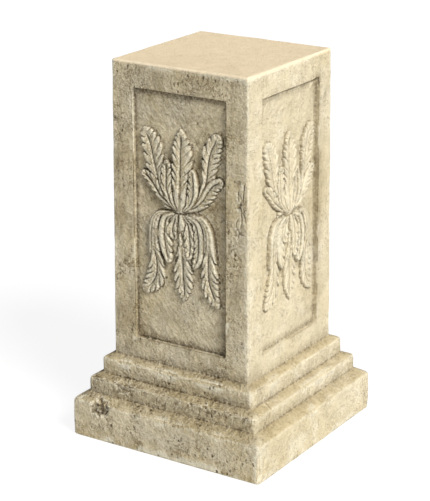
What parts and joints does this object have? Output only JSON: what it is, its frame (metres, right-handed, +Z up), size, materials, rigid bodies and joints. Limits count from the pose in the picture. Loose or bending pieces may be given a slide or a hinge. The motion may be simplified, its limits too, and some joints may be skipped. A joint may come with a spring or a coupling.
{
  "type": "square pedestal",
  "caption": "Square cast-stone garden pedestal with a stepped foot and a tall shaft, a sunk panel with a spray of acanthus leaves on each side.",
  "frame": {"origin": "centre of the underside", "axes": "+Z up along the shaft; the shaft's four sides face -Y, +X, +Y and -X, and the picture shows the -Y side on the left and the +X side on the right"},
  "size_m": [0.394, 0.394, 0.686],
  "materials": {
    "cast_stone": "matte, weathered and stained"
  },
  "bodies": {
    "root": {"pedestal": "cast_stone"}
  },
  "joints": []
}
